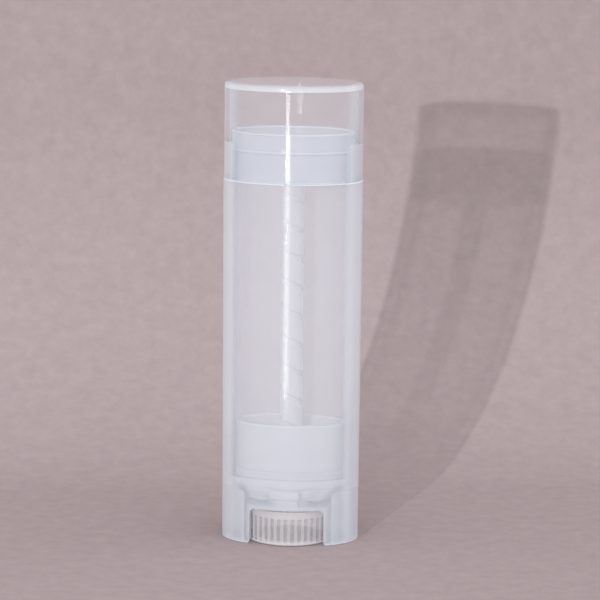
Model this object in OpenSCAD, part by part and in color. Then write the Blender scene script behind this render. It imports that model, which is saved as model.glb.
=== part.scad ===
// Oval twist-up balm tube: a barrel with a clear cap, a screw wheel and an elevator.
// The origin is in the middle of the foot, +Z is up and +X runs along the wide side.

/* [Barrel] */
// Width of the barrel at its shoulder, along X
barrel_w = 20.2; // [19.6:0.1:26]
// Depth of the barrel at its shoulder, along Y
barrel_d = 12.8; // [12.4:0.1:16]
// Height of the shoulder that the cap stands on
shoulder_h = 53; // [40:0.5:80]
// Wall between the bore and the outside at the shoulder
barrel_wall = 1.65; // [1.2:0.05:2]
// How much narrower the foot is than the shoulder
barrel_draft = 0.25; // [0:0.05:0.5]
// Bevel round the shoulder
shoulder_edge = 0.15; // [0.05:0.05:0.4]

/* [Neck] */
// Height of the neck above the shoulder
neck_h = 7; // [5:0.5:11]
// Wall of the neck
neck_wall = 0.5; // [0.4:0.05:0.8]
// How far the snap bead stands out of the neck
bead_out = 0.15; // [0.05:0.05:0.2]
// Height of the snap bead
bead_h = 0.9; // [0.5:0.1:1.5]
// Height of the bead's middle above the shoulder
bead_up = 4.3; // [3:0.1:5]

/* [Foot] */
// Depth of the round chamber under the floor that the wheel turns in
chamber_h = 5.25; // [4.5:0.05:7]
// Thickness of the round web that carries the wheel
web_t = 0.9; // [0.6:0.05:1.4]
// Height of the oval ledge round the web's well
ledge_h = 8.1; // [7.5:0.1:10]
// Thickness of the ledge over the hollow feet
ledge_t = 0.8; // [0.5:0.05:1.2]
// Outer wall of the hollow feet
foot_wall = 1.1; // [0.7:0.05:1.4]
// Wall of the round collar between the feet and the wheel
collar_wall = 0.6; // [0.4:0.05:0.8]
// Radius of the rounded corner round the well's floor
well_r = 1.4; // [0.5:0.1:1.9]
// Width of the grip window at the front and the back
window_w = 10.8; // [8:0.1:12]
// Radius of the window's upper corners
window_r = 0.7; // [0.2:0.1:1.5]

/* [Cap] */
// Height of the cap
cap_h = 14; // [13:0.5:22]
// Thickness of the cap's top
cap_top = 0.9; // [0.6:0.1:1.6]
// Step from the barrel in to the cap
cap_step = 0.1; // [0:0.05:0.2]
// Radius of the edge round the cap's top
cap_r = 0.6; // [0.3:0.1:0.9]
// How far the snap ring stands into the cap
ring_in = 0.1; // [0.05:0.01:0.12]
// Height of the snap ring
ring_h = 0.6; // [0.4:0.1:1]
// How far the snap ring sits under the bead
ring_drop = 0.1; // [0:0.05:0.5]

/* [Screw wheel] */
// Radius of the wheel over its ribs
wheel_r = 6.45; // [6:0.05:6.5]
// Height of the wheel's rim
wheel_h = 4.95; // [4:0.05:5]
// Gap under the wheel, from the foot
wheel_lift = 0.15; // [0.1:0.05:0.3]
// Wall of the rim, over its ribs
rim_wall = 1.1; // [0.8:0.05:1.6]
// Thickness of the wheel's disc
disc_t = 0.7; // [0.5:0.05:1.2]
// Number of grip ribs round the rim
rib_count = 40; // [24:1:60]
// Depth of the grooves between the ribs
rib_depth = 0.25; // [0.1:0.05:0.4]
// Height of the ribs
rib_h = 3.4; // [2:0.1:3.6]
// Radius of the hub that turns in the web
hub_r = 3.2; // [3:0.05:3.8]
// How far the snap head reaches over the web
head_out = 0.35; // [0.2:0.05:0.5]
// Height of the snap head
head_h = 1.05; // [0.8:0.05:1.1]
// Wall of the snap fingers
finger_wall = 0.9; // [0.6:0.05:1]
// Width of the four slots between the snap fingers
slot_w = 0.7; // [0.4:0.1:1.2]
// Turn of the slots about the axis
slot_turn = 32; // [-45:1:45]

/* [Spindle] */
// Radius of the spindle
spindle_r = 1.6; // [1.5:0.05:1.8]
// How much thicker the plain root of the spindle is, on its radius
root_out = 0.2; // [0.1:0.05:0.3]
// Height of the spindle's tip above the foot
spindle_top = 53.2; // [40:0.1:56]
// Rise of the thread in one turn
lead = 4.2; // [3:0.1:6]
// Depth of the thread groove
groove_depth = 0.35; // [0.25:0.05:0.45]
// Height of the thread groove at the spindle's surface
groove_h = 0.95; // [0.7:0.05:1.2]
// Turn of the thread at the foot
thread_turn = 274; // [0:1:359]

/* [Elevator] */
// Height of the cup's wall above its underside
cup_h = 8.1; // [5:0.1:12]
// Wall of the cup
cup_wall = 0.7; // [0.4:0.05:1]
// Thickness of the cup's floor
cup_floor = 0.9; // [0.6:0.1:1.5]
// Height of the cup's underside above the ledge
cup_lift = 1.3; // [0.5:0.1:3]
// Height of the sleeve above the cup's underside
sleeve_h = 6.3; // [3:0.1:8]
// Radius of the sleeve at the cup's floor
sleeve_foot_r = 3.3; // [2.8:0.1:3.8]
// Radius of the sleeve at its top
sleeve_top_r = 2.4; // [2.2:0.1:2.8]
// Radius of the boss under the cup
boss_r = 3.55; // [3:0.05:4]
// Height of the boss under the cup
boss_h = 1.7; // [1:0.1:1.7]
// Height of the ridge that runs in the groove
ridge_h = 0.5; // [0.3:0.05:0.6]
// Share of a turn that the ridge goes round the spindle
ridge_turns = 0.5; // [0.25:0.05:0.75]

/* [Fits] */
// Gap between the elevator and the bore, all round
bore_gap = 0.2; // [0.1:0.05:0.3]
// Gap between the cap and the neck, all round
cap_gap = 0.3; // [0.25:0.05:0.4]
// Gap between the wheel's rim and the collar
wheel_gap = 0.25; // [0.15:0.05:0.4]
// Gap between the hub and the web, all round
hub_gap = 0.1; // [0.05:0.01:0.15]
// Gap between the spindle and the elevator's hole
nut_gap = 0.15; // [0.1:0.01:0.2]
// Gap between the ridge and the groove's floor
ridge_gap = 0.13; // [0.1:0.01:0.2]

/* [Hidden] */
cut = 0.5;
curve_steps = 96;
oval_steps = 72;
thread_slices = 12;
round_steps = 4;

// Widths and depths of the ovals that fit round or inside one another
barrel_size = [barrel_w, barrel_d];
foot_size = barrel_size * (1 - barrel_draft / barrel_w);
bore_size = grown(barrel_size, -barrel_wall);
neck_size = grown(bore_size, neck_wall);
cap_size = grown(barrel_size, -cap_step);
cap_inside = grown(neck_size, cap_gap);
cup_size = grown(bore_size, -bore_gap);

neck_top = shoulder_h + neck_h;
bead_z = shoulder_h + bead_up;
collar_r = wheel_r + wheel_gap;
web_top = chamber_h + web_t;
wheel_top = wheel_lift + wheel_h;
disc_bottom = wheel_top - disc_t;
head_z = web_top + hub_gap;
head_top = head_z + head_h;
cup_z = ledge_h + cup_lift;
nut_r = spindle_r + nut_gap;
ridge_z = cup_z - boss_h + ridge_h;

// An oval of a width and a depth, in even steps of its turning angle
module oval(size) {
    polygon([
        for (i = [0:oval_steps - 1])
            let (a = 360 * i / oval_steps)
                [size.x * cos(a), size.y * sin(a)] / 2
    ]);
}

// An upright oval bar
module oval_bar(size, height) {
    linear_extrude(height = height)
        oval(size);
}

// An upright oval bar that changes evenly from one size to another
module oval_taper(low, high, height) {
    linear_extrude(height = height, scale = [high.x / low.x, high.y / low.y])
        oval(low);
}

// A ridge that stands out of an oval wall, or into it, highest at half its height
module oval_ridge(size, out, height) {
    for (side = [0, 1])
        mirror([0, 0, side])
            oval_taper(grown(size, out), size, height / 2);
}

// An oval grown outward by a distance all round
function grown(size, by) = size + 2 * by * [1, 1];

function arc(r, from, to, steps) =
    [for (i = [0:steps]) let (a = from + (to - from) * i / steps) r * [cos(a), sin(a)]];

// Direction in which the middle of the thread points at a height
function thread_angle(z) = thread_turn - 360 * z / lead;

// A flat section carried up the left-hand thread from one height to another
module along_thread(from, to) {
    translate([0, 0, from])
        rotate([0, 0, thread_angle(from)])
            linear_extrude(
                height = to - from,
                twist = 360 * (to - from) / lead,
                slices = ceil(thread_slices * (to - from) / lead)
            )
                children();
}

// The round spindle with one groove in it
module spindle_section() {
    half = 180 * groove_h / lead;
    floor_half = 0.75 * half;
    polygon(concat(
        arc(spindle_r, half, 360 - half, 12),
        arc(spindle_r - groove_depth, -floor_half, floor_half, 2)
    ));
}

// The ridge that stands out of the elevator's hole into the groove
module ridge_section() {
    half = 180 * ridge_h / lead;
    tip_r = spindle_r - groove_depth + ridge_gap;
    root_r = nut_r + nut_gap;
    polygon(concat(arc(root_r, -half, half, 2), arc(tip_r, half, -half, 2)));
}

module barrel_outside() {
    oval_taper(foot_size, barrel_size, shoulder_h - shoulder_edge);
    translate([0, 0, shoulder_h - shoulder_edge])
        oval_taper(barrel_size, grown(barrel_size, -shoulder_edge), shoulder_edge);
    translate([0, 0, shoulder_h - cut])
        oval_bar(neck_size, neck_h + cut);
    translate([0, 0, bead_z])
        oval_ridge(neck_size, bead_out, bead_h);
}

// The round well in the floor, with a rounded corner, held inside the oval bore
module well() {
    intersection() {
        translate([0, 0, web_top])
            rotate_extrude($fn = curve_steps) {
                square([collar_r - well_r, ledge_h]);
                translate([0, well_r])
                    square([collar_r, ledge_h]);
                translate([collar_r - well_r, well_r])
                    circle(r = well_r, $fn = curve_steps);
            }
        oval_bar(bore_size, shoulder_h);
    }
}

// The hollow in each foot, open below, outside the round collar
module foot_hollows() {
    difference() {
        translate([0, 0, -cut])
            oval_bar(grown(foot_size, -foot_wall), ledge_h - ledge_t + cut);
        translate([0, 0, -2 * cut])
            cylinder(r = collar_r + collar_wall, h = ledge_h + 2 * cut, $fn = curve_steps);
    }
}

// The window at the front and the back that lets a thumb turn the wheel
module grip_window() {
    corner_x = window_w / 2 - window_r;
    rotate([90, 0, 0])
        linear_extrude(height = 2 * barrel_d, center = true) {
            translate([-window_w / 2, -cut])
                square([window_w, chamber_h - window_r + cut]);
            translate([-corner_x, 0])
                square([2 * corner_x, chamber_h]);
            for (side = [-1, 1])
                translate([side * corner_x, chamber_h - window_r])
                    circle(r = window_r, $fn = curve_steps);
        }
}

module barrel() color([0.86, 0.87, 0.91, 0.7]) {
    difference() {
        barrel_outside();
        translate([0, 0, ledge_h])
            oval_bar(bore_size, neck_top);
        well();
        translate([0, 0, -cut])
            cylinder(r = collar_r, h = chamber_h + cut, $fn = curve_steps);
        cylinder(r = hub_r + hub_gap, h = ledge_h, $fn = curve_steps);
        foot_hollows();
        grip_window();
    }
}

module cap() color([0.9, 0.92, 0.94, 0.35]) {
    translate([0, 0, shoulder_h]) {
        difference() {
            cap_outside();
            translate([0, 0, -cut])
                oval_bar(cap_inside, cap_h - cap_top + cut);
        }
        cap_snap_ring();
    }
}

// The cap's outside, with its top edge rounded in a few even steps
module cap_outside() {
    hull() {
        oval_bar(cap_size, cap_h - cap_r);
        for (turn = [90 / round_steps:90 / round_steps:90])
            translate([0, 0, cap_h - cap_r * (2 - sin(turn))])
                oval_bar(grown(cap_size, cap_r * (cos(turn) - 1)), cap_r);
    }
}

// The ring inside the cap that clicks past the bead on the neck and rests just under it
module cap_snap_ring() {
    translate([0, 0, bead_up - (bead_h + ring_h) / 2 - ring_drop])
        difference() {
            translate([0, 0, -ring_h / 2])
                oval_bar(grown(cap_inside, ring_in), ring_h);
            oval_ridge(cap_inside, -ring_in, ring_h + cut);
        }
}

// The rim, with ribs between two plain bands, and the disc that closes it at the top
module wheel_rim() {
    pitch = 360 / rib_count;
    rib_foot = wheel_lift + (wheel_h - rib_h) / 2;
    valley_r = wheel_r - rib_depth;
    difference() {
        translate([0, 0, wheel_lift])
            cylinder(r = wheel_r, h = wheel_h, $fn = curve_steps);
        translate([0, 0, rib_foot])
            linear_extrude(height = rib_h)
                for (i = [0:rib_count - 1])
                    rotate(i * pitch)
                        rib_groove_section(pitch, valley_r);
        cylinder(r = wheel_r - rim_wall, h = disc_bottom, $fn = curve_steps);
    }
}

// One groove between two ribs, narrower at its floor
module rib_groove_section(pitch, valley_r) {
    mouth = wheel_r * sin(0.3 * pitch);
    bed = wheel_r * sin(0.2 * pitch);
    polygon([[valley_r, -bed], [wheel_r + cut, -mouth], [wheel_r + cut, mouth], [valley_r, bed]]);
}

// Four snap fingers that turn in the web and hold the wheel up by their heads
module wheel_hub() {
    difference() {
        translate([0, 0, disc_bottom])
            rotate_extrude($fn = curve_steps)
                polygon([
                    [hub_r - finger_wall, 0],
                    [hub_r, 0],
                    [hub_r, head_z - disc_bottom],
                    [hub_r + head_out, head_z - disc_bottom],
                    [hub_r + head_out, head_top - head_out - disc_bottom],
                    [hub_r, head_top - disc_bottom],
                    [hub_r - finger_wall, head_top - disc_bottom],
                ]);
        for (turn = [0, 90])
            rotate([0, 0, slot_turn + turn])
                translate([-wheel_r, -slot_w / 2, wheel_top])
                    cube([2 * wheel_r, slot_w, head_top]);
    }
}

// The plain root stands on the disc, and the threaded length grows out of it
module spindle() {
    translate([0, 0, disc_bottom])
        cylinder(r = spindle_r + root_out, h = head_top - disc_bottom, $fn = curve_steps);
    along_thread(head_top - cut, spindle_top)
        spindle_section();
}

module screw_wheel() color([0.88, 0.89, 0.92, 0.6]) {
    wheel_rim();
    wheel_hub();
    spindle();
}

module elevator() color([0.92, 0.93, 0.95, 0.8]) {
    difference() {
        union() {
            translate([0, 0, cup_z])
                difference() {
                    oval_bar(cup_size, cup_h);
                    translate([0, 0, cup_floor])
                        oval_bar(grown(cup_size, -cup_wall), cup_h);
                }
            translate([0, 0, cup_z])
                cylinder(r1 = sleeve_foot_r, r2 = sleeve_top_r, h = sleeve_h, $fn = curve_steps);
            translate([0, 0, cup_z - boss_h])
                cylinder(r = boss_r, h = boss_h, $fn = curve_steps);
        }
        translate([0, 0, cup_z - boss_h - cut])
            cylinder(r = nut_r, h = boss_h + sleeve_h + 2 * cut, $fn = curve_steps);
    }
    along_thread(ridge_z, ridge_z + ridge_turns * lead)
        ridge_section();
}

barrel();
cap();
elevator();
screw_wheel();
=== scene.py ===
import math

import bmesh
import bpy
from mathutils import Matrix, Vector


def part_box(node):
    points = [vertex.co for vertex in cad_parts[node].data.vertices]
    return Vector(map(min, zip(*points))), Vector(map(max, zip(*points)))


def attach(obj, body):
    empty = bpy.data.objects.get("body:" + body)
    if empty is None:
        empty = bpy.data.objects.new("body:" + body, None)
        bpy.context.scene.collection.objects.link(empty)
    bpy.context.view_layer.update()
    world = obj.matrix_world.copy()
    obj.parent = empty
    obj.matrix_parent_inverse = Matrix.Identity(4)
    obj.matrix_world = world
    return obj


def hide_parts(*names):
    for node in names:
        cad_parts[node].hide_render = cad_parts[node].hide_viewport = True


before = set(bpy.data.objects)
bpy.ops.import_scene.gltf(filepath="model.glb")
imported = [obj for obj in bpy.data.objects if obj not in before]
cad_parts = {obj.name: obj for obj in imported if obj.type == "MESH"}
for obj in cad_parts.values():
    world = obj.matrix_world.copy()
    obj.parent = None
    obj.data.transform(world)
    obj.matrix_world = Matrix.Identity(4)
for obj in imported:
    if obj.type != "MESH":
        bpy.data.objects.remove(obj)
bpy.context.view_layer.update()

# Lengths are in millimetres until mesh_object() turns a finished mesh into metres.
MM = 0.001
SIDES = 288
ROUND_STEPS = 6

# How far extra rings stay from the ends of a long straight, and how wide a gap is welded shut
HOLD = 0.12
WELD = 0.002

# How far a cutter reaches past its piece, and the turn in degrees that keeps a post off other edges
CUT_PAST = 1
POST_TURN = 0.4

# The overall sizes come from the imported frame.
barrel_low, barrel_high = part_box("barrel")
cap_low, cap_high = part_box("cap")
cup_low, cup_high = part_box("elevator")
wheel_low, wheel_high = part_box("screw_wheel")

BARREL_W = (barrel_high.x - barrel_low.x) / MM
BARREL_D = (barrel_high.y - barrel_low.y) / MM
NECK_TOP = barrel_high.z / MM
SHOULDER = cap_low.z / MM
CAP_TOP = cap_high.z / MM
CAP_W = (cap_high.x - cap_low.x) / MM
CAP_D = (cap_high.y - cap_low.y) / MM
CUP_W = (cup_high.x - cup_low.x) / MM
CUP_D = (cup_high.y - cup_low.y) / MM
BOSS_BOTTOM = cup_low.z / MM
CUP_TOP = cup_high.z / MM
WHEEL_R = (wheel_high.x - wheel_low.x) / MM / 2
WHEEL_BOTTOM = wheel_low.z / MM
SPINDLE_TOP = wheel_high.z / MM

# Barrel
BARREL_WALL = 1.65
BARREL_DRAFT = 0.25
NECK_WALL = 0.5
SHOULDER_EDGE = 0.15
BEAD_Z = SHOULDER + 4.3
BEAD_OUT = 0.15
BEAD_H = 0.9
LEDGE = 8.1
LEDGE_T = 0.8
CHAMBER = 5.25
WEB_TOP = 6.15
WELL_ROUND = 1.4
COLLAR_R = 6.7
COLLAR_WALL = 0.6
FOOT_WALL = 1.1
FOOT_EDGE = 0.12
FOOT_ROUND = 0.5
WINDOW_W = 10.8
WINDOW_R = 0.7
HUB_HOLE_R = 3.3
NECK_LIP = 0.15
LEDGE_EASE = 0.25
EASE = 0.08
HOLLOW_EDGE = 0.3
COLLAR_SIDES = 286
BARREL_BEVEL = 0.06

# Heights over the window at which rings keep the shading of the outside straight
SHADE_LEVELS = (CHAMBER + 0.25, CHAMBER + 0.6)

# Cap
CAP_GAP = 0.3
CAP_PLATE = 0.9
CAP_ROUND = 0.6
CAP_INNER_ROUND = 0.25
CAP_LIP = 0.08
RING_IN = 0.1
RING_H = 0.6
RING_Z = SHOULDER + 3.45

# Screw wheel
WHEEL_TOP = 5.1
RIM_WALL = 1.1
DISC_T = 0.7
RIM_EDGE = 0.12
RIM_ROUND = 0.3
RIBS = 40
RIB_DEPTH = 0.25
RIB_SQUARE = 1.6
RIB_FADE = 0.1
RIB_LOW = 0.55
RIB_HIGH = 3.95
STEPS_PER_RIB = 12
HUB_R = 3.2
HEAD_R = 3.55
HEAD_Z = 6.25
HEAD_TOP = 7.3
FINGER_WALL = 0.9
HUB_SIDES = 142
SLOT_W = 0.7
SLOT_H = 4
SLOT_TURN = 32
SPINDLE_R = 1.6
SPINDLE_SINK = 0.5
ROOT_R = 1.8
ROOT_EDGE = 0.15
ROOT_SIDES = 94
LEAD = 4.2
GROOVE_DEPTH = 0.35
GROOVE_H = 0.95
GROOVE_FLANK = 0.6
THREAD_TURN = 274
THREAD_SIDES = 48
RINGS_PER_TURN = 40

# Elevator
CUP_BOTTOM = 9.4
CUP_WALL = 0.7
CUP_FLOOR = 0.9
CUP_EDGE = 0.2
CUP_LIP = 0.12
CUP_ROUND = 0.4
SLEEVE_TOP = 15.7
SLEEVE_FOOT_R = 3.3
SLEEVE_TOP_R = 2.4
SLEEVE_FILLET = 0.2
SLEEVE_EDGE = 0.15
BOSS_R = 3.55
NUT_R = 1.75
NUT_EDGE = 0.1

# Camera, as the photograph gives it
CAMERA_AWAY = 440
CAMERA_HEIGHT = 117
CAMERA_TURN = 5.5
CAMERA_PITCH = 10.53
CAMERA_ROLL = 0.6
CAMERA_AIM_RIGHT = 1.14
FOCAL_PIXELS = 3090
PICTURE_PIXELS = 600
SENSOR = 36

# The card behind the tube and the lamp, as the bent edges of the shadow give them
SWEEP_START = 27.2
SWEEP_R = 71.8
SWEEP_RISE = 73.9
SWEEP_YAW = 3.7
SWEEP_STEPS = 48
CARD_FRONT = 1500
CARD_UP = 900
CARD_HALF_W = 900
CARD_DROP = 0.02
CARD_DARK = (0.33, 0.267, 0.273, 1)
CARD_LIGHT = (0.473, 0.388, 0.392, 1)
LAMP_AWAY = 641
LAMP_HEIGHT = 162
LAMP_LEFT = 19.1
LAMP_R = 4
LAMP_WATTS = 8.3
LAMP_CONE = 44
LAMP_BLEND = 0.3

# The bright strip: how far left of the camera it points, its two ends and half its width at each
STRIP_LEFT = 13
STRIP_NEAR = 98
STRIP_NEAR_HALF = 4
STRIP_FAR = 900
STRIP_FAR_HALF = 34
STRIP_Z = 0.5
STRIP_STRENGTH = 25

# The soft light from all round, and what it gains from overhead and from the right
SKY_COLOUR = (0.98, 0.985, 1, 1)
SKY_EVEN = 0.52
SKY_OVERHEAD = 0.9
SKY_RIGHT = 0.62

# Where the thick walls at the two ends of the oval begin, and the width over which they fade in
SIDE_START = 7.7
SIDE_FADE = 0.9

# Up to this height the neck inside the cap makes the cap's ends milkier
CAP_ENDS_TOP = NECK_TOP - 1.6

# Powers that narrow the fine line at the very edge, partly a painted edge highlight, and the gain of
# level faces
LINE_POWER = 12
FLAT_POWER = 4


def oval(half_w, half_d, z, sides=SIDES):
    """One ring of points round an oval."""
    turns = [2 * math.pi * i / sides for i in range(sides)]
    return [Vector((half_w * math.cos(t), half_d * math.sin(t), z)) for t in turns]


def circle(r, z, sides=SIDES):
    return oval(r, r, z, sides)


def mesh_object(name, bm):
    """Turns a bmesh drawn in millimetres into an object in metres."""
    bmesh.ops.recalc_face_normals(bm, faces=bm.faces)
    bmesh.ops.scale(bm, vec=(MM, MM, MM), verts=bm.verts)
    mesh = bpy.data.meshes.new(name)
    bm.to_mesh(mesh)
    bm.free()
    piece = bpy.data.objects.new(name, mesh)
    bpy.context.scene.collection.objects.link(piece)
    return piece


def add_skin(bm, rings, loop=False):
    """Joins rings of points with faces. A ring of one point is a pole."""
    rows = [[bm.verts.new(p) for p in ring] for ring in rings]
    pairs = list(zip(rows, rows[1:]))
    if loop:
        pairs.append((rows[-1], rows[0]))
    for low, high in pairs:
        count = max(len(low), len(high))
        for i in range(count):
            j = (i + 1) % count
            if len(low) == 1:
                bm.faces.new((low[0], high[i], high[j]))
            elif len(high) == 1:
                bm.faces.new((low[j], low[i], high[0]))
            else:
                bm.faces.new((low[i], low[j], high[j], high[i]))


def skin(name, rings, loop=False):
    bm = bmesh.new()
    add_skin(bm, rings, loop)
    return mesh_object(name, bm)


def capped(rings):
    """Closes a stack of rings with a pole at each end."""
    low = Vector((0, 0, rings[0][0].z))
    high = Vector((0, 0, rings[-1][0].z))
    return [[low]] + rings + [[high]]


def rounded(corner, radius, start, end):
    """Offsets and heights round a corner: corner is its centre, start and end are angles in degrees."""
    offset, z = corner
    turns = [math.radians(start + (end - start) * i / ROUND_STEPS) for i in range(ROUND_STEPS + 1)]
    return [(offset + radius * math.cos(t), z + radius * math.sin(t)) for t in turns]


def held(profile, levels=()):
    """Adds points near both ends of each long straight and at some heights, so that it shades flat."""
    points = [profile[0]]
    for a, b in zip(profile, profile[1:]):
        length = math.hypot(b[0] - a[0], b[1] - a[1])
        shares = []
        if length > 8 * HOLD:
            crossed = [z for z in levels if min(a[1], b[1]) + HOLD < z < max(a[1], b[1]) - HOLD]
            shares = [HOLD / length, 1 - HOLD / length] + [(z - a[1]) / (b[1] - a[1]) for z in crossed]
        for share in sorted(shares):
            points.append((a[0] + (b[0] - a[0]) * share, a[1] + (b[1] - a[1]) * share))
        points.append(b)
    return points


def offset_ovals(half_w, half_d, profile):
    """A ring for each (offset, height) of a profile, set out from one oval."""
    return [oval(half_w + out, half_d + out, z) for out, z in profile]


def applied(piece, kind, **settings):
    """Adds one modifier and makes its result the piece's own mesh."""
    modifier = piece.modifiers.new("step", kind)
    for key, value in settings.items():
        setattr(modifier, key, value)
    bpy.context.view_layer.update()
    shown = piece.evaluated_get(bpy.context.evaluated_depsgraph_get())
    mesh = bpy.data.meshes.new_from_object(shown)
    piece.modifiers.clear()
    old = piece.data
    piece.data = mesh
    bpy.data.meshes.remove(old)


def combine(piece, other, operation):
    """Cuts other out of the piece, or joins it on, and deletes other."""
    applied(piece, "BOOLEAN", object=other, operation=operation, solver="EXACT")
    bpy.data.objects.remove(other)


def finish_mesh(piece, bevel=0.0):
    """Closes hairline gaps, rounds the sharp edges a little and shades the rest smooth."""
    applied(piece, "WELD", merge_threshold=WELD * MM)
    if bevel:
        applied(
            piece, "BEVEL", width=bevel * MM, segments=2, limit_method="ANGLE",
            angle_limit=math.radians(40), use_clamp_overlap=True,
        )
    piece.data.shade_smooth()
    piece.data.set_sharp_from_angle(angle=math.radians(32))


def make_barrel_outside():
    half_w, half_d = BARREL_W / 2, BARREL_D / 2
    draft = BARREL_DRAFT / 2
    neck = NECK_WALL - BARREL_WALL
    bore = -BARREL_WALL
    profile = rounded((-draft - FOOT_EDGE, FOOT_EDGE), FOOT_EDGE, -90, 0)
    profile += rounded((-SHOULDER_EDGE, SHOULDER - SHOULDER_EDGE), SHOULDER_EDGE, 0, 90)
    profile += [
        (neck + EASE, SHOULDER),
        (neck, SHOULDER + EASE),
        (neck, BEAD_Z - BEAD_H / 2),
        (neck + BEAD_OUT * 0.8, BEAD_Z - BEAD_H / 6),
        (neck + BEAD_OUT, BEAD_Z),
        (neck + BEAD_OUT * 0.8, BEAD_Z + BEAD_H / 6),
        (neck, BEAD_Z + BEAD_H / 2),
    ]
    profile += rounded((neck - NECK_LIP, NECK_TOP - NECK_LIP), NECK_LIP, 0, 90)
    profile += rounded((bore + NECK_LIP, NECK_TOP - NECK_LIP), NECK_LIP, 90, 180)
    profile.append((bore, LEDGE + LEDGE_EASE))
    rings = offset_ovals(half_w, half_d, held(profile, SHADE_LEVELS))
    rings += make_barrel_floor()
    return skin("barrel_shell", rings, loop=True)


def held_ring(r, z, half_w, half_d, margin):
    """A circle whose points stay a margin inside an oval, in line with the points of the bore."""
    bore_w, bore_d = BARREL_W / 2 - BARREL_WALL, BARREL_D / 2 - BARREL_WALL
    ring = []
    for i in range(SIDES):
        t = 2 * math.pi * i / SIDES
        toward = Vector((bore_w * math.cos(t), bore_d * math.sin(t), 0)).normalized()
        limit = half_w * half_d / math.hypot(half_d * toward.x, half_w * toward.y)
        ring.append(toward * min(r, limit - margin) + Vector((0, 0, z)))
    return ring


def make_barrel_floor():
    """Rings from the ledge through the well and the hub's hole to the chamber that holds the wheel.

    Each is a radius, a height and the margin that it keeps from the bore or from the outside.
    """
    bore = (BARREL_W / 2 - BARREL_WALL, BARREL_D / 2 - BARREL_WALL)
    outside = (BARREL_W / 2, BARREL_D / 2)
    corner = rounded((COLLAR_R - WELL_ROUND, WEB_TOP + WELL_ROUND), WELL_ROUND, 0, -90)
    in_bore = [(COLLAR_R + LEDGE_EASE, LEDGE, 0.05), (COLLAR_R, LEDGE - 0.05, 0.1)]
    in_bore += [(r, z, 0.1 + (COLLAR_R - r) * 0.6) for r, z in corner]
    in_bore += [(HUB_HOLE_R + EASE, WEB_TOP, 0), (HUB_HOLE_R, WEB_TOP - EASE, 0)]
    in_bore += [(HUB_HOLE_R, CHAMBER + EASE, 0), (HUB_HOLE_R + EASE, CHAMBER, 0)]
    in_foot = [(COLLAR_R - 0.15, CHAMBER, 0.55), (COLLAR_R, CHAMBER - 0.15, 0.4)]
    in_foot += [(COLLAR_R, 0.1, 0.4), (COLLAR_R + 0.1, 0, 0.3)]
    rings = [held_ring(r, z, *bore, margin) for r, z, margin in in_bore]
    return rings + [held_ring(r, z, *outside, margin) for r, z, margin in in_foot]


def make_post(name, profile, sides):
    """A closed round post, turned a little so that its points never fall on another piece's edges."""
    turn = Matrix.Rotation(math.radians(POST_TURN), 3, "Z")
    rings = [[turn @ p for p in circle(r, z, sides)] for r, z in profile]
    return skin(name, capped(rings))


def make_foot_hollows():
    inset = -FOOT_WALL - BARREL_DRAFT / 2
    top = LEDGE - LEDGE_T
    profile = [(inset, -CUT_PAST), (inset, top - HOLLOW_EDGE), (inset - HOLLOW_EDGE, top)]
    hollow = skin("hollow", capped(offset_ovals(BARREL_W / 2, BARREL_D / 2, profile)))
    collar_r = COLLAR_R + COLLAR_WALL
    sides = [(collar_r, -2 * CUT_PAST), (collar_r, LEDGE + CUT_PAST)]
    combine(hollow, make_post("collar", sides, COLLAR_SIDES), "DIFFERENCE")
    return hollow


def make_window():
    """A prism along Y, open below, with rounded upper corners."""
    side = WINDOW_W / 2 - WINDOW_R
    top = CHAMBER - WINDOW_R
    edge = WINDOW_W / 2 + FOOT_ROUND
    outline = [(edge, -CUT_PAST)]
    outline += rounded((edge, FOOT_ROUND), FOOT_ROUND, 270, 180)
    outline += rounded((side, top), WINDOW_R, 0, 90)
    outline += rounded((-side, top), WINDOW_R, 90, 180)
    outline += rounded((-edge, FOOT_ROUND), FOOT_ROUND, 0, -90)
    outline.append((-edge, -CUT_PAST))
    bm = bmesh.new()
    ends = [[bm.verts.new((x, y, z)) for x, z in outline] for y in (-BARREL_D, BARREL_D)]
    bm.faces.new(ends[0])
    bm.faces.new(reversed(ends[1]))
    count = len(outline)
    for i in range(count):
        j = (i + 1) % count
        bm.faces.new((ends[0][i], ends[0][j], ends[1][j], ends[1][i]))
    return mesh_object("window", bm)


def make_barrel():
    barrel = make_barrel_outside()
    combine(barrel, make_foot_hollows(), "DIFFERENCE")
    combine(barrel, make_window(), "DIFFERENCE")
    finish_mesh(barrel, BARREL_BEVEL)
    return barrel


def make_cap():
    inner = NECK_WALL - BARREL_WALL + CAP_GAP + (BARREL_W - CAP_W) / 2
    ceiling = CAP_TOP - CAP_PLATE
    profile = [(-CAP_ROUND * 2, CAP_TOP)]
    profile += rounded((-CAP_ROUND, CAP_TOP - CAP_ROUND), CAP_ROUND, 90, 0)
    profile += rounded((-CAP_LIP, SHOULDER + CAP_LIP), CAP_LIP, 0, -90)
    profile += rounded((inner + CAP_LIP, SHOULDER + CAP_LIP), CAP_LIP, -90, -180)
    profile += [
        (inner, RING_Z - RING_H / 2),
        (inner - RING_IN, RING_Z - RING_H / 6),
        (inner - RING_IN, RING_Z + RING_H / 6),
        (inner, RING_Z + RING_H / 2),
    ]
    profile += rounded((inner - CAP_INNER_ROUND, ceiling - CAP_INNER_ROUND), CAP_INNER_ROUND, 0, 90)
    rings = offset_ovals(CAP_W / 2, CAP_D / 2, held(profile))
    rings = [[Vector((0, 0, CAP_TOP))]] + rings + [[Vector((0, 0, ceiling))]]
    cap = skin("cap_shell", rings)
    finish_mesh(cap)
    return cap


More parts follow.
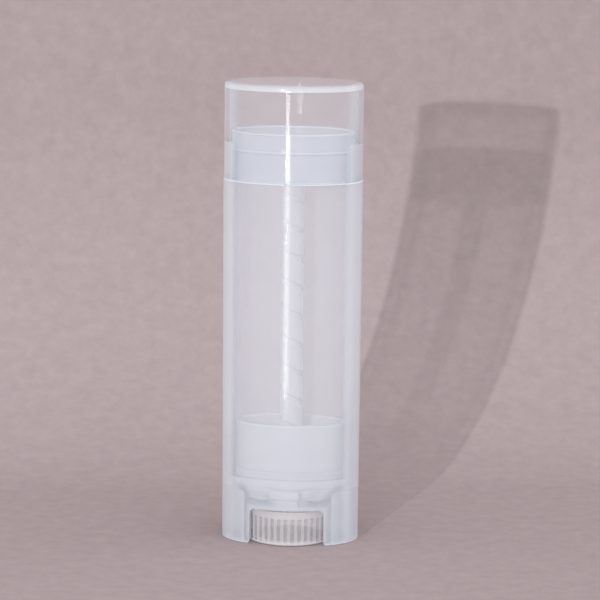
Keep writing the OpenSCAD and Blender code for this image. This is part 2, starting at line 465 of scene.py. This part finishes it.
def rib_ring(z, depth):
    """A ring round the wheel with grooves of a depth between its ribs."""
    sides = RIBS * STEPS_PER_RIB
    ring = []
    for i in range(sides):
        phase = (i % STEPS_PER_RIB) / STEPS_PER_RIB
        wave = max(0.0, min(1.0, 0.5 - RIB_SQUARE * math.cos(2 * math.pi * phase)))
        r = WHEEL_R - depth * (1 - wave)
        t = 2 * math.pi * i / sides
        ring.append(Vector((r * math.cos(t), r * math.sin(t), z)))
    return ring


def make_wheel_rim():
    sides = RIBS * STEPS_PER_RIB
    outside = rounded((WHEEL_R - RIM_EDGE, WHEEL_BOTTOM + RIM_EDGE), RIM_EDGE, -90, 0)
    top = rounded((WHEEL_R - RIM_EDGE, WHEEL_TOP - RIM_EDGE), RIM_EDGE, 0, 90)
    hollow_r = WHEEL_R - RIM_WALL
    disc_bottom = WHEEL_TOP - DISC_T
    hollow = rounded((hollow_r - RIM_ROUND, disc_bottom - RIM_ROUND), RIM_ROUND, 90, 0)
    upper = [circle(r, z, sides) for r, z in outside]
    upper += [rib_ring(RIB_LOW - RIB_FADE, 0), rib_ring(RIB_LOW + RIB_FADE, RIB_DEPTH)]
    upper += [rib_ring(RIB_HIGH - RIB_FADE, RIB_DEPTH), rib_ring(RIB_HIGH + RIB_FADE, 0)]
    upper += [circle(r, z, sides) for r, z in top]
    upper.append([Vector((0, 0, WHEEL_TOP))])
    lower = [[Vector((0, 0, disc_bottom))]]
    lower += [circle(r, z, sides) for r, z in hollow]
    lower += [circle(hollow_r, WHEEL_BOTTOM, sides), circle(WHEEL_R - RIM_EDGE, WHEEL_BOTTOM, sides)]
    bm = bmesh.new()
    add_skin(bm, upper)
    add_skin(bm, lower)
    bmesh.ops.remove_doubles(bm, verts=bm.verts, dist=0.0005)
    return mesh_object("wheel", bm)


def make_hub():
    inner = HUB_R - FINGER_WALL
    low = WHEEL_TOP - DISC_T / 2
    profile = [(inner, low), (HUB_R, low), (HUB_R, HEAD_Z), (HEAD_R, HEAD_Z), (HEAD_R, HEAD_Z + 0.5)]
    profile += [(HEAD_R - 0.05, HEAD_Z + 0.62), (HUB_R, HEAD_TOP), (inner, HEAD_TOP)]
    hub = skin("hub", [circle(r, z, HUB_SIDES) for r, z in profile], loop=True)
    for turn in (0, 90):
        bm = bmesh.new()
        bmesh.ops.create_cube(bm, size=1)
        bmesh.ops.scale(bm, vec=(3 * HUB_R, SLOT_W, SLOT_H), verts=bm.verts)
        bmesh.ops.translate(bm, vec=(0, 0, WHEEL_TOP + SLOT_H / 2), verts=bm.verts)
        rotation = Matrix.Rotation(math.radians(SLOT_TURN + turn), 3, "Z")
        bmesh.ops.rotate(bm, matrix=rotation, verts=bm.verts)
        combine(hub, mesh_object("slot", bm), "DIFFERENCE")
    return hub


def thread_angle(z):
    return math.radians(THREAD_TURN - 360 * z / LEAD)


def thread_ring(z, depth):
    """One ring of the spindle: round, with one groove that turns as the height changes."""
    half = math.pi * GROOVE_H / LEAD
    ring = []
    for i in range(THREAD_SIDES):
        t = 2 * math.pi * i / THREAD_SIDES - math.pi
        fall = max(0.0, min(1.0, (half - abs(t)) / (GROOVE_FLANK * half)))
        r = SPINDLE_R - depth * fall
        a = t + thread_angle(z)
        ring.append(Vector((r * math.cos(a), r * math.sin(a), z)))
    return ring


def make_spindle():
    bottom = HEAD_TOP - SPINDLE_SINK
    count = math.ceil((SPINDLE_TOP - bottom) / LEAD * RINGS_PER_TURN)
    heights = [bottom + (SPINDLE_TOP - bottom) * i / count for i in range(count + 1)]
    rings = [thread_ring(z, GROOVE_DEPTH) for z in heights]
    spindle = skin("spindle", capped(rings))
    low = WHEEL_TOP - DISC_T / 2
    root = [(ROOT_R, low), (ROOT_R, HEAD_TOP - ROOT_EDGE), (ROOT_R - ROOT_EDGE, HEAD_TOP)]
    combine(spindle, make_post("root", root, ROOT_SIDES), "UNION")
    return spindle


def make_wheel():
    wheel = make_wheel_rim()
    combine(wheel, make_hub(), "UNION")
    combine(wheel, make_spindle(), "UNION")
    finish_mesh(wheel)
    return wheel


def make_elevator():
    half_w, half_d = CUP_W / 2, CUP_D / 2
    floor = CUP_BOTTOM + CUP_FLOOR
    inside = -CUP_WALL
    profile = rounded((-CUP_EDGE, CUP_BOTTOM + CUP_EDGE), CUP_EDGE, -90, 0)
    profile += rounded((-CUP_LIP, CUP_TOP - CUP_LIP), CUP_LIP, 0, 90)
    profile += rounded((inside + CUP_LIP, CUP_TOP - CUP_LIP), CUP_LIP, 90, 180)
    profile += rounded((inside - CUP_ROUND, floor + CUP_ROUND), CUP_ROUND, 0, -90)
    rings = offset_ovals(half_w, half_d, held(profile))
    round_part = [
        (SLEEVE_FOOT_R + SLEEVE_FILLET, floor),
        (SLEEVE_FOOT_R, floor + SLEEVE_FILLET),
        (SLEEVE_TOP_R, SLEEVE_TOP - SLEEVE_EDGE),
        (SLEEVE_TOP_R - SLEEVE_EDGE, SLEEVE_TOP),
        (NUT_R + NUT_EDGE, SLEEVE_TOP),
        (NUT_R, SLEEVE_TOP - NUT_EDGE),
        (NUT_R, BOSS_BOTTOM + NUT_EDGE),
        (NUT_R + NUT_EDGE, BOSS_BOTTOM),
        (BOSS_R - SLEEVE_EDGE, BOSS_BOTTOM),
        (BOSS_R, BOSS_BOTTOM + SLEEVE_EDGE),
        (BOSS_R, CUP_BOTTOM - SLEEVE_EDGE),
        (BOSS_R + SLEEVE_EDGE, CUP_BOTTOM),
    ]
    rings += [circle(r, z) for r, z in round_part]
    cup = skin("elevator_cup", rings, loop=True)
    finish_mesh(cup)
    return cup


def nodes_of(material):
    material.use_nodes = True
    tree = material.node_tree
    return tree, tree.nodes["Principled BSDF"]


def math_node(tree, operation, a, b):
    node = tree.nodes.new("ShaderNodeMath")
    node.operation = operation
    node.use_clamp = True
    for socket, value in zip(node.inputs, (a, b)):
        if isinstance(value, (int, float)):
            socket.default_value = value
        else:
            tree.links.new(value, socket)
    return node.outputs[0]


def plastic(
    name, colour, alpha, rim_alpha, roughness, rim_power=3.0, line=0.0, gloss=0.5,
    bands=(), crest=None, flat=0.0, shade=0.0, bump=0.02,
):
    """See-through moulded plastic, milkier at its rims, in bands of height and beyond the crest radius;
    its narrow bands along edges are painted highlight lines.

    Each band is its low and high edge, the opacity it adds and where: on all faces, on upright ones, on
    the near ones, which show their outside, or in the thick walls at the tube's two ends. Line is a fine
    line at the very edge, partly the longer path through the wall and partly a painted edge highlight.
    Flat is what level faces gain. Shade deepens the shadow, as the bending of light in thick clear
    plastic does.
    """
    material = bpy.data.materials.new(name)
    tree, shader = nodes_of(material)
    shader.inputs["Base Color"].default_value = (*colour, 1)
    shader.inputs["Roughness"].default_value = roughness
    shader.inputs["IOR"].default_value = 1.49
    shader.inputs["Specular IOR Level"].default_value = gloss
    place = tree.nodes.new("ShaderNodeTexCoord")
    cloud = tree.nodes.new("ShaderNodeTexNoise")
    cloud.inputs["Scale"].default_value = 120
    cloud.inputs["Detail"].default_value = 2
    tree.links.new(place.outputs["Object"], cloud.inputs["Vector"])
    tint = tree.nodes.new("ShaderNodeMixRGB")
    tint.inputs["Color1"].default_value = (*colour, 1)
    tint.inputs["Color2"].default_value = (*[c * 0.94 for c in colour], 1)
    tree.links.new(cloud.outputs["Fac"], tint.inputs["Fac"])
    tree.links.new(tint.outputs[0], shader.inputs["Base Color"])
    facing = tree.nodes.new("ShaderNodeLayerWeight")
    facing.inputs["Blend"].default_value = 0.5
    edge = math_node(tree, "POWER", facing.outputs["Facing"], rim_power)
    normal = tree.nodes.new("ShaderNodeSeparateXYZ")
    tree.links.new(place.outputs["Normal"], normal.inputs[0])
    flatness = tree.nodes.new("ShaderNodeMath")
    flatness.operation = "ABSOLUTE"
    tree.links.new(normal.outputs["Z"], flatness.inputs[0])
    upright = math_node(tree, "SUBTRACT", 1, flatness.outputs[0])
    rim = math_node(tree, "MULTIPLY", math_node(tree, "MULTIPLY", edge, upright), rim_alpha - alpha)
    opacity = math_node(tree, "ADD", rim, alpha)
    # The fine line at the very edge: partly the longer path through the wall, partly a painted edge
    # highlight
    if line:
        narrow = math_node(tree, "POWER", facing.outputs["Facing"], LINE_POWER)
        thin = math_node(tree, "MULTIPLY", narrow, upright)
        opacity = math_node(tree, "ADD", opacity, math_node(tree, "MULTIPLY", thin, line))
    if flat:
        level = math_node(tree, "POWER", flatness.outputs[0], FLAT_POWER)
        opacity = math_node(tree, "ADD", opacity, math_node(tree, "MULTIPLY", level, flat))
    if bands:
        split = tree.nodes.new("ShaderNodeSeparateXYZ")
        tree.links.new(place.outputs["Object"], split.inputs[0])
        sideways = tree.nodes.new("ShaderNodeMath")
        sideways.operation = "ABSOLUTE"
        tree.links.new(split.outputs["X"], sideways.inputs[0])
        past = math_node(tree, "SUBTRACT", sideways.outputs[0], SIDE_START * MM)
        sheet = tree.nodes.new("ShaderNodeNewGeometry")
        outward = math_node(tree, "SUBTRACT", 1, sheet.outputs["Backfacing"])
        where = {
            "upright": upright,
            "near": math_node(tree, "MULTIPLY", upright, outward),
            "ends": math_node(tree, "MULTIPLY", past, 1 / (SIDE_FADE * MM)),
        }
        for low, high, extra, kind in bands:
            above = math_node(tree, "GREATER_THAN", split.outputs["Z"], low * MM)
            below = math_node(tree, "LESS_THAN", split.outputs["Z"], high * MM)
            inside = math_node(tree, "MULTIPLY", above, below)
            if kind in where:
                inside = math_node(tree, "MULTIPLY", inside, where[kind])
            opacity = math_node(tree, "ADD", opacity, math_node(tree, "MULTIPLY", inside, extra))
    if crest:
        across = tree.nodes.new("ShaderNodeVectorMath")
        across.operation = "MULTIPLY"
        across.inputs[1].default_value = (1, 1, 0)
        tree.links.new(place.outputs["Object"], across.inputs[0])
        radius = tree.nodes.new("ShaderNodeVectorMath")
        radius.operation = "LENGTH"
        tree.links.new(across.outputs[0], radius.inputs[0])
        beyond = math_node(tree, "GREATER_THAN", radius.outputs["Value"], crest[0] * MM)
        opacity = math_node(tree, "ADD", opacity, math_node(tree, "MULTIPLY", beyond, crest[1]))
    if shade:
        ray = tree.nodes.new("ShaderNodeLightPath")
        deeper = math_node(tree, "MULTIPLY", ray.outputs["Is Shadow Ray"], shade)
        opacity = math_node(tree, "ADD", opacity, deeper)
    tree.links.new(opacity, shader.inputs["Alpha"])
    ripple = tree.nodes.new("ShaderNodeTexNoise")
    ripple.inputs["Scale"].default_value = 900
    tree.links.new(place.outputs["Object"], ripple.inputs["Vector"])
    relief = tree.nodes.new("ShaderNodeBump")
    relief.inputs["Strength"].default_value = bump
    relief.inputs["Distance"].default_value = 0.05 * MM
    tree.links.new(ripple.outputs["Fac"], relief.inputs["Height"])
    tree.links.new(relief.outputs[0], shader.inputs["Normal"])
    return material


def paper(name):
    """The mauve-grey card under and behind the tube, a little mottled. It shows from its front only."""
    material = bpy.data.materials.new(name)
    tree = nodes_of(material)[0]
    place = tree.nodes.new("ShaderNodeTexCoord")
    mottle = tree.nodes.new("ShaderNodeTexNoise")
    mottle.inputs["Scale"].default_value = 420
    mottle.inputs["Detail"].default_value = 8
    mottle.inputs["Roughness"].default_value = 0.7
    tree.links.new(place.outputs["Object"], mottle.inputs["Vector"])
    mix = tree.nodes.new("ShaderNodeMixRGB")
    mix.inputs["Color1"].default_value = CARD_DARK
    mix.inputs["Color2"].default_value = CARD_LIGHT
    tree.links.new(mottle.outputs["Fac"], mix.inputs["Fac"])
    matt = tree.nodes.new("ShaderNodeBsdfDiffuse")
    tree.links.new(mix.outputs[0], matt.inputs["Color"])
    side = tree.nodes.new("ShaderNodeNewGeometry")
    clear_side = tree.nodes.new("ShaderNodeBsdfTransparent")
    choose = tree.nodes.new("ShaderNodeMixShader")
    tree.links.new(side.outputs["Backfacing"], choose.inputs[0])
    tree.links.new(matt.outputs[0], choose.inputs[1])
    tree.links.new(clear_side.outputs[0], choose.inputs[2])
    tree.links.new(choose.outputs[0], tree.nodes["Material Output"].inputs["Surface"])
    return material


def make_floor():
    """A card that lies flat under the tube and sweeps up behind it, which is what bends the shadow."""
    turn = math.radians(CAMERA_TURN + SWEEP_YAW)
    ahead = Vector((-math.sin(turn), math.cos(turn), 0))
    side = Vector((math.cos(turn), math.sin(turn), 0))
    rise = math.radians(SWEEP_RISE)
    bends = [rise * i / SWEEP_STEPS for i in range(SWEEP_STEPS + 1)]
    profile = [(-CARD_FRONT, 0)]
    profile += [(SWEEP_START + SWEEP_R * math.sin(t), SWEEP_R * (1 - math.cos(t))) for t in bends]
    profile.append((profile[-1][0] + CARD_UP * math.cos(rise), profile[-1][1] + CARD_UP * math.sin(rise)))
    bm = bmesh.new()
    rows = []
    for back, up in profile:
        middle = ahead * back + Vector((0, 0, up - CARD_DROP))
        rows.append([bm.verts.new(middle + side * across) for across in (-CARD_HALF_W, CARD_HALF_W)])
    for low, high in zip(rows, rows[1:]):
        bm.faces.new((low[0], low[1], high[1], high[0]))
    floor = mesh_object("floor", bm)
    if floor.data.polygons[0].normal.z < 0:
        floor.data.flip_normals()
    floor.data.shade_smooth()
    floor.data.materials.append(paper("card"))


def make_camera():
    """Stands where the photograph was taken from and looks just right of the tube."""
    turn = math.radians(CAMERA_TURN)
    pitch = math.radians(CAMERA_PITCH)
    right = Vector((math.cos(turn), math.sin(turn), 0))
    ahead = Vector((-math.sin(turn), math.cos(turn), 0))
    look = ahead * math.cos(pitch) - Vector((0, 0, 1)) * math.sin(pitch)
    up = right.cross(look)
    place = -ahead * CAMERA_AWAY + right * CAMERA_AIM_RIGHT + Vector((0, 0, CAMERA_HEIGHT))
    rotation = Matrix((right, up, -look)).transposed()
    rotation = rotation @ Matrix.Rotation(math.radians(CAMERA_ROLL), 3, "Z")
    data = bpy.data.cameras.new("camera")
    data.sensor_width = SENSOR
    data.lens = FOCAL_PIXELS / PICTURE_PIXELS * SENSOR
    data.clip_start = 0.01
    data.clip_end = 20
    camera = bpy.data.objects.new("camera", data)
    camera.matrix_world = Matrix.Translation(place * MM) @ rotation.to_4x4()
    bpy.context.scene.collection.objects.link(camera)
    bpy.context.scene.camera = camera


def make_key_light():
    """A small lamp left of the camera and a little higher, which throws the soft-edged shadow.

    It shines in a cone round the tube, so that it leaves no bright patch on the card below it.
    """
    data = bpy.data.lights.new("key", "SPOT")
    data.spot_size = math.radians(LAMP_CONE)
    data.spot_blend = LAMP_BLEND
    data.energy = LAMP_WATTS
    data.shadow_soft_size = LAMP_R * MM
    lamp = bpy.data.objects.new("key", data)
    turn = math.radians(CAMERA_TURN - LAMP_LEFT)
    lamp.location = Vector((math.sin(turn) * LAMP_AWAY, -math.cos(turn) * LAMP_AWAY, LAMP_HEIGHT)) * MM
    aim = Vector((0, 0, NECK_TOP * MM)) - lamp.location
    lamp.rotation_euler = aim.to_track_quat("-Z", "Y").to_euler()
    bpy.context.scene.collection.objects.link(lamp)


def make_highlight_strip():
    """A bright strip in front, seen only in reflections, which draws the narrow upright highlight."""
    material = bpy.data.materials.new("strip_light")
    material.use_nodes = True
    tree = material.node_tree
    tree.nodes.clear()
    glow = tree.nodes.new("ShaderNodeEmission")
    glow.inputs["Strength"].default_value = STRIP_STRENGTH
    output = tree.nodes.new("ShaderNodeOutputMaterial")
    tree.links.new(glow.outputs[0], output.inputs["Surface"])
    turn = math.radians(CAMERA_TURN - STRIP_LEFT)
    ahead = Vector((math.sin(turn), -math.cos(turn), 0))
    side = Vector((math.cos(turn), math.sin(turn), 0))
    bm = bmesh.new()
    corners = [
        (STRIP_NEAR, -STRIP_NEAR_HALF),
        (STRIP_NEAR, STRIP_NEAR_HALF),
        (STRIP_FAR, STRIP_FAR_HALF),
        (STRIP_FAR, -STRIP_FAR_HALF),
    ]
    height = Vector((0, 0, STRIP_Z))
    bm.faces.new([bm.verts.new(ahead * far + side * across + height) for far, across in corners])
    strip = mesh_object("strip", bm)
    strip.data.materials.append(material)
    strip.visible_camera = False
    strip.visible_diffuse = False
    strip.visible_transmission = False
    strip.visible_volume_scatter = False
    strip.visible_shadow = False


def make_world():
    """Even soft light, stronger from overhead and a little from the right."""
    world = bpy.data.worlds.new("studio")
    bpy.context.scene.world = world
    world.use_nodes = True
    tree = world.node_tree
    background = tree.nodes["Background"]
    background.inputs["Color"].default_value = SKY_COLOUR
    direction = tree.nodes.new("ShaderNodeTexCoord")
    parts = tree.nodes.new("ShaderNodeSeparateXYZ")
    tree.links.new(direction.outputs["Generated"], parts.inputs[0])
    above = math_node(tree, "MAXIMUM", parts.outputs["Z"], 0)
    overhead = math_node(tree, "MULTIPLY", math_node(tree, "POWER", above, 2), SKY_OVERHEAD)
    right = math_node(tree, "MAXIMUM", parts.outputs["X"], 0)
    rightward = math_node(tree, "MULTIPLY", right, SKY_RIGHT)
    strength = tree.nodes.new("ShaderNodeMath")
    strength.operation = "ADD"
    strength.inputs[1].default_value = SKY_EVEN
    tree.links.new(math_node(tree, "ADD", overhead, rightward), strength.inputs[0])
    tree.links.new(strength.outputs[0], background.inputs["Strength"])


def place(piece, node, body, slot, material):
    piece.data.materials.clear()
    piece.data.materials.append(material)
    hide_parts(node)
    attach(piece, body)


make_camera()
make_key_light()
make_world()
make_floor()
make_highlight_strip()

barrel_lines = [
    (0, LEDGE, 0.13, "upright"),
    (LEDGE, CUP_BOTTOM + 0.3, 0.19, "upright"),
    (0, 0.2, 0.25, "upright"),
    (0, CUP_BOTTOM + 0.3, 0.12, "ends"),
    (CUP_BOTTOM + 0.3, NECK_TOP, 0.3, "ends"),
    (SHOULDER, NECK_TOP, 0.2, "upright"),
    # Narrow bands at the shoulder's edge, the bead and the neck's top are painted highlight lines
    (SHOULDER - 0.13, SHOULDER + 0.03, 0.7, "upright"),
    (BEAD_Z - 0.12, BEAD_Z + 0.12, 0.14, "upright"),
    (NECK_TOP - 0.2, NECK_TOP + 0.1, 0.3, "upright"),
]
cap_lines = [
    # A narrow band at the cap's lower lip is a painted highlight line
    (SHOULDER - 0.1, SHOULDER + 0.1, 0.2, "upright"),
    (SHOULDER, CAP_ENDS_TOP, 0.38, "ends"),
    (CAP_ENDS_TOP, CAP_TOP, 0.1, "ends"),
    (CAP_TOP - CAP_PLATE, CAP_TOP - 0.1, 0.5, "near"),
]
cup_lines = [
    (CUP_TOP - 0.25, CUP_TOP + 0.1, 0.1, "upright"),
    (CUP_BOTTOM - 0.1, CUP_BOTTOM + 1.1, 0.12, "all"),
]
wheel_lines = [
    (WHEEL_BOTTOM - 0.1, RIB_LOW, 0.2, "upright"),
    (RIB_HIGH, WHEEL_TOP + 0.1, 0.05, "upright"),
    (HEAD_TOP, SPINDLE_TOP + 0.1, 0.4, "all"),
    (WHEEL_TOP + 0.05, HEAD_TOP, 0.5, "all"),
]
milky = plastic(
    "milky_barrel", (0.875, 0.925, 1), alpha=0.22, rim_alpha=0.75, roughness=0.11, rim_power=3.6,
    line=0.7, gloss=0.4, bands=barrel_lines, flat=0.55, shade=0.05,
)
clear = plastic(
    "clear_cap", (0.87, 0.94, 1), alpha=0.095, rim_alpha=0.75, roughness=0.05, rim_power=3,
    line=1.6, gloss=0.85, bands=cap_lines, flat=0.19, shade=0.08,
)
cup_milk = plastic(
    "milky_cup", (0.95, 0.96, 0.99), alpha=0.42, rim_alpha=0.9, roughness=0.35, rim_power=4,
    gloss=0.2, bands=cup_lines,
)
wheel_milk = plastic(
    "milky_wheel", (0.92, 0.91, 0.94), alpha=0.24, rim_alpha=0.9, roughness=0.45, rim_power=3,
    gloss=0.0, bands=wheel_lines, crest=(WHEEL_R - 0.1, 0.15),
)

place(make_barrel(), "barrel", "barrel", "barrel_plastic", milky)
place(make_cap(), "cap", "cap", "cap_plastic", clear)
place(make_elevator(), "elevator", "elevator", "elevator_plastic", cup_milk)
place(make_wheel(), "screw_wheel", "screw_wheel", "wheel_plastic", wheel_milk)

bpy.context.scene.view_settings.view_transform = "Standard"
bpy.context.scene.cycles.transparent_max_bounces = 48
